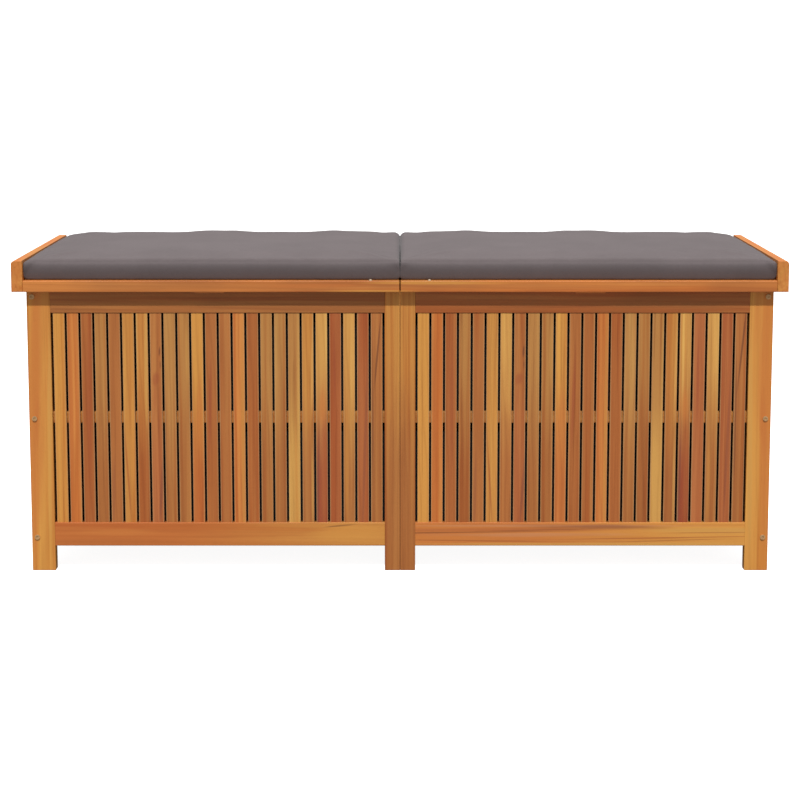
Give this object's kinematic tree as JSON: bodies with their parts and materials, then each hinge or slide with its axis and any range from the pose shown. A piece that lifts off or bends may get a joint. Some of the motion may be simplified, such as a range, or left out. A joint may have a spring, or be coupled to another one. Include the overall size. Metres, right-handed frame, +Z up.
{
  "type": "deck storage box",
  "caption": "Slatted hardwood storage bench with a two-part hinged lid, raised lid ends, seat cushions and a fabric liner.",
  "frame": {"origin": "centre of the bounding box, at the floor", "axes": "+X along the bench to the right seen from the front, +Y from the front to the back, +Z up"},
  "size_m": [1.5008, 0.5074, 0.625],
  "materials": {
    "frame_wood": "oiled, satin",
    "slat_wood": "oiled, satin",
    "dowel_wood": "bare",
    "cushion_fabric": "woven, matt",
    "liner_fabric": "coated woven fabric, matt",
    "strap_webbing": "woven webbing",
    "bolt_steel": "zinc plated",
    "hinge_steel": "zinc plated",
    "screw_steel": "zinc plated",
    "stay_steel": "zinc plated"
  },
  "bodies": {
    "box": {"back_bottom_rails": "frame_wood", "back_centre_posts": "frame_wood", "back_left_leg": "frame_wood", "back_left_slats": "slat_wood", "back_middle_rails": "frame_wood", "back_right_leg": "frame_wood", "back_right_slats": "slat_wood", "back_top_rails": "frame_wood", "centre_cross_rails": "frame_wood", "centre_post_bolts": "bolt_steel", "corner_barrel_nuts": "bolt_steel", "corner_bolts": "bolt_steel", "floor_boards": "frame_wood", "floor_cleats": "frame_wood", "front_left_bottom_rail": "frame_wood", "front_left_centre_post": "frame_wood", "front_left_leg": "frame_wood", "front_left_slats": "slat_wood", "front_left_top_rail": "frame_wood", "front_middle_rails": "frame_wood", "front_right_bottom_rail": "frame_wood", "front_right_centre_post": "frame_wood", "front_right_leg": "frame_wood", "front_right_slats": "slat_wood", "front_right_top_rail": "frame_wood", "hinge_box_leaves": "hinge_steel", "hinge_pins": "hinge_steel", "hinge_screws": "hinge_steel", "left_side_rails": "frame_wood", "left_side_slats": "slat_wood", "left_side_stiles": "frame_wood", "liner": "liner_fabric", "rail_dowels": "dowel_wood", "right_side_rails": "frame_wood", "right_side_slats": "slat_wood", "right_side_stiles": "frame_wood", "stay_studs": "stay_steel"},
    "left_lid": {"left_arm": "frame_wood", "left_cushion": "cushion_fabric", "left_cushion_straps": "strap_webbing", "left_lid_back_rail": "frame_wood", "left_lid_battens": "frame_wood", "left_lid_front_rail": "frame_wood", "left_lid_hinge_leaves": "hinge_steel", "left_lid_screws": "screw_steel", "left_lid_slats": "frame_wood", "left_stay_pivot": "stay_steel"},
    "right_lid": {"right_arm": "frame_wood", "right_cushion": "cushion_fabric", "right_cushion_straps": "strap_webbing", "right_lid_back_rail": "frame_wood", "right_lid_battens": "frame_wood", "right_lid_front_rail": "frame_wood", "right_lid_hinge_leaves": "hinge_steel", "right_lid_screws": "screw_steel", "right_lid_slats": "frame_wood", "right_stay_pivot": "stay_steel"},
    "left_stay": {"left_stay": "stay_steel"},
    "right_stay": {"right_stay": "stay_steel"}
  },
  "joints": [
    {"name": "left_lid_hinge", "type": "hinge", "parent": "box", "child": "left_lid", "pos_m": [-0.37, 0.25025, 0.55775], "axis": [-1, 0, 0], "range_deg": [0, 95]},
    {"name": "left_stay_pivot", "type": "hinge", "parent": "left_lid", "child": "left_stay", "pos_m": [-0.6935, 0.07057, 0.547], "axis": [-1, 0, 0], "range_deg": [-47.5, 0]},
    {"name": "right_lid_hinge", "type": "hinge", "parent": "box", "child": "right_lid", "pos_m": [0.37, 0.25025, 0.55775], "axis": [-1, 0, 0], "range_deg": [0, 95]},
    {"name": "right_stay_pivot", "type": "hinge", "parent": "right_lid", "child": "right_stay", "pos_m": [0.6935, 0.07057, 0.547], "axis": [-1, 0, 0], "range_deg": [-47.5, 0]}
  ],
  "couplings": [
    {"joint": "left_stay_pivot", "follows": "left_lid_hinge", "ratio": -0.5},
    {"joint": "right_stay_pivot", "follows": "right_lid_hinge", "ratio": -0.5}
  ]
}
